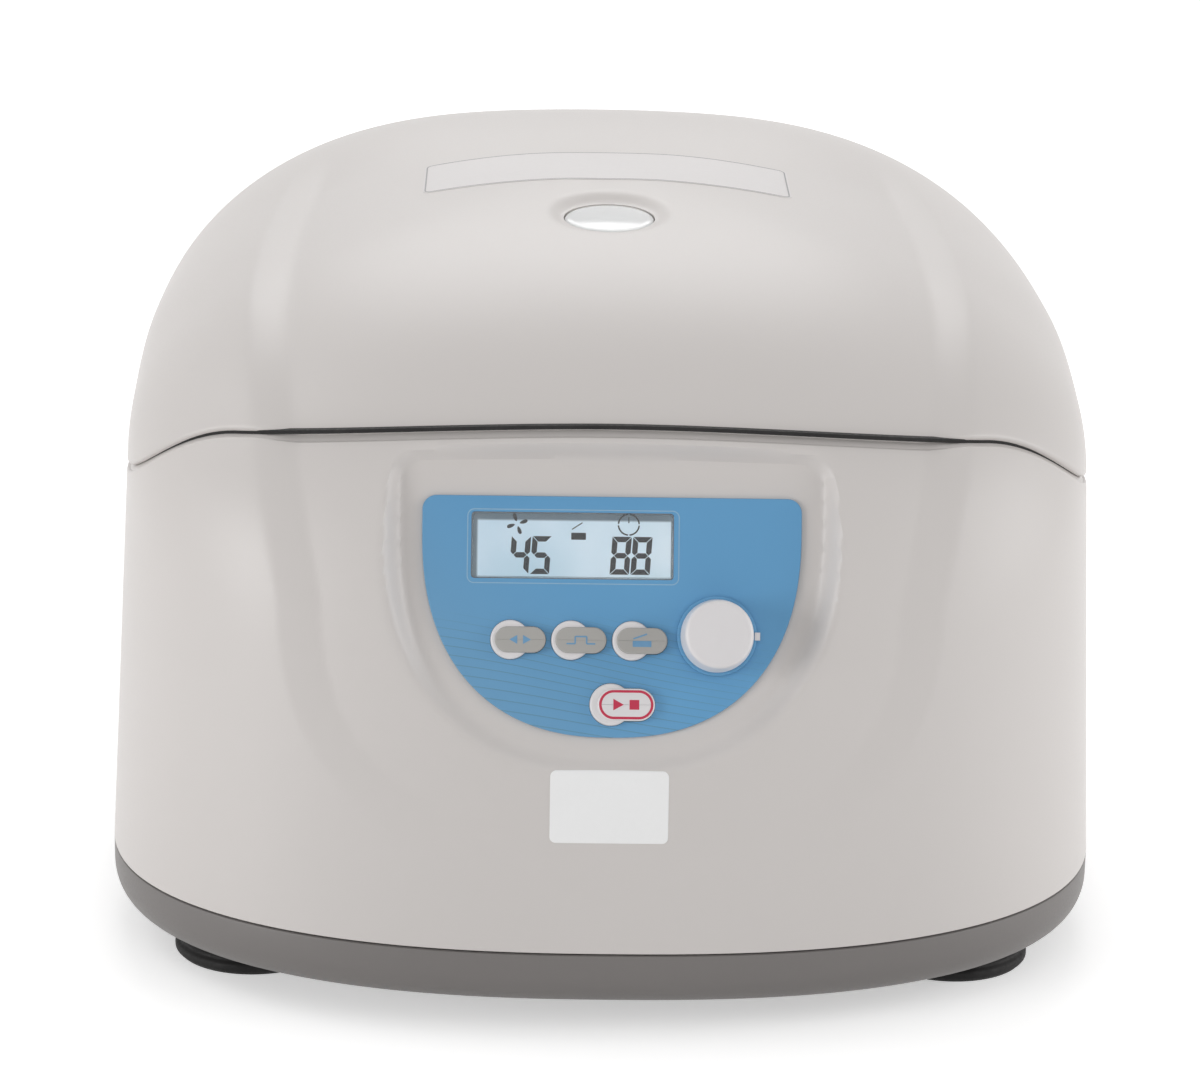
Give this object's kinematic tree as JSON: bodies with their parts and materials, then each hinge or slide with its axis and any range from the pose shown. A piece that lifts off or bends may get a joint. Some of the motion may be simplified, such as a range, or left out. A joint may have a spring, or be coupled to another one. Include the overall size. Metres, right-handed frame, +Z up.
{
  "type": "low-speed benchtop centrifuge",
  "caption": "Benchtop centrifuge with domed lid, view port, tilted control panel, angle rotor with hanging tube sleeves, and round feet.",
  "frame": {"origin": "on the bench under the middle of the bounding box", "axes": "+Z up, +X to the right seen from the front, +Y towards the hinges at the back; the control panel faces -Y"},
  "size_m": [0.295, 0.3644, 0.2165],
  "materials": {
    "shell_white": "satin moulded shell, fine grain",
    "tray_grey": "satin dark grey moulding",
    "panel_blue": "printed film with a soft gloss",
    "button_grey": "satin keys",
    "knob_white": "satin turned knob",
    "rubber_black": "matt rubber",
    "steel": "brushed stainless steel",
    "zinc": "zinc-plated pressing",
    "rotor_grey": "hard anodised, satin",
    "sleeve_white": "moulded liner, satin",
    "clear_window": "clear acrylic disc",
    "display_glass": "liquid crystal module",
    "board_green": "solder mask",
    "copper": "varnished winding",
    "plastic_black": "moulded black"
  },
  "bodies": {
    "base": {"base_tray": "tray_grey", "body_shell": "shell_white", "inner_deck": "shell_white", "chamber_bowl": "steel", "bowl_grommet": "rubber_black", "motor": "zinc", "motor_plate": "zinc", "drive_board": "board_green", "mains_transformer": "copper", "control_panel": "panel_blue", "display_lens": "clear_window", "display_module": "display_glass", "control_board": "board_green", "knob_encoder": "zinc", "knob_collar": "knob_white", "lock_frame": "zinc", "lock_solenoid": "copper", "lid_sensor": "plastic_black", "inlet_socket": "plastic_black", "switch_housing": "plastic_black", "foot_front_left": "rubber_black", "motor_damper_front_left": "rubber_black", "foot_front_right": "rubber_black", "motor_damper_front_right": "rubber_black", "foot_rear_left": "rubber_black", "motor_damper_rear_left": "rubber_black", "foot_rear_right": "rubber_black", "motor_damper_rear_right": "rubber_black", "hinge_bracket_left": "zinc", "hinge_pin_left": "steel", "hinge_bracket_right": "zinc", "hinge_pin_right": "steel"},
    "lid": {"lid_shell": "shell_white", "lid_liner": "shell_white", "lid_gasket": "rubber_black", "port_window": "clear_window", "port_tube": "shell_white", "lid_hook": "steel", "hinge_arm_left": "zinc", "hinge_arm_right": "zinc"},
    "rotor": {"rotor_body": "rotor_grey", "rotor_nut": "steel", "rotor_shaft": "steel", "tube_sleeve_1": "sleeve_white", "tube_sleeve_2": "sleeve_white", "tube_sleeve_3": "sleeve_white", "tube_sleeve_4": "sleeve_white", "tube_sleeve_5": "sleeve_white", "tube_sleeve_6": "sleeve_white", "tube_sleeve_7": "sleeve_white", "tube_sleeve_8": "sleeve_white"},
    "button_select": {"button_select": "button_grey"},
    "button_pulse": {"button_pulse": "button_grey"},
    "button_door": {"button_door": "button_grey"},
    "button_start_stop": {"button_start_stop": "button_grey"},
    "control_knob": {"knob": "knob_white", "encoder_shaft": "steel"},
    "power_rocker": {"power_rocker": "plastic_black"},
    "lock_bolt": {"lock_bolt": "steel"}
  },
  "joints": [
    {"name": "lid_hinge", "type": "hinge", "parent": "base", "child": "lid", "pos_m": [0, 0.1774, 0.1388], "axis": [-1, 0, 0], "range_deg": [0, 80]},
    {"name": "rotor_spin", "type": "hinge", "parent": "base", "child": "rotor", "pos_m": [0, 0.008, 0.1], "axis": [0, 0, 1], "continuous": true},
    {"name": "knob_turn", "type": "hinge", "parent": "base", "child": "control_knob", "pos_m": [0.0295, -0.1598, 0.11249], "axis": [0, -0.9397, 0.342], "continuous": true},
    {"name": "button_select_press", "type": "slide", "parent": "base", "child": "button_select", "axis": [0, 0.9397, -0.342], "range_m": [0, 0.0012], "stiffness_N_per_m": 800, "springref_m": -0.0003},
    {"name": "button_pulse_press", "type": "slide", "parent": "base", "child": "button_pulse", "axis": [0, 0.9397, -0.342], "range_m": [0, 0.0012], "stiffness_N_per_m": 800, "springref_m": -0.0003},
    {"name": "button_door_press", "type": "slide", "parent": "base", "child": "button_door", "axis": [0, 0.9397, -0.342], "range_m": [0, 0.0012], "stiffness_N_per_m": 800, "springref_m": -0.0003},
    {"name": "button_start_stop_press", "type": "slide", "parent": "base", "child": "button_start_stop", "axis": [0, 0.9397, -0.342], "range_m": [0, 0.0012], "stiffness_N_per_m": 800, "springref_m": -0.0003},
    {"name": "power_rocker_tilt", "type": "hinge", "parent": "base", "child": "power_rocker", "pos_m": [-0.017, 0.1643, 0.058], "axis": [-1, 0, 0], "range_deg": [0, 18]},
    {"name": "lock_bolt_slide", "type": "slide", "parent": "base", "child": "lock_bolt", "axis": [-1, 0, 0], "range_m": [0, 0.0062]}
  ]
}
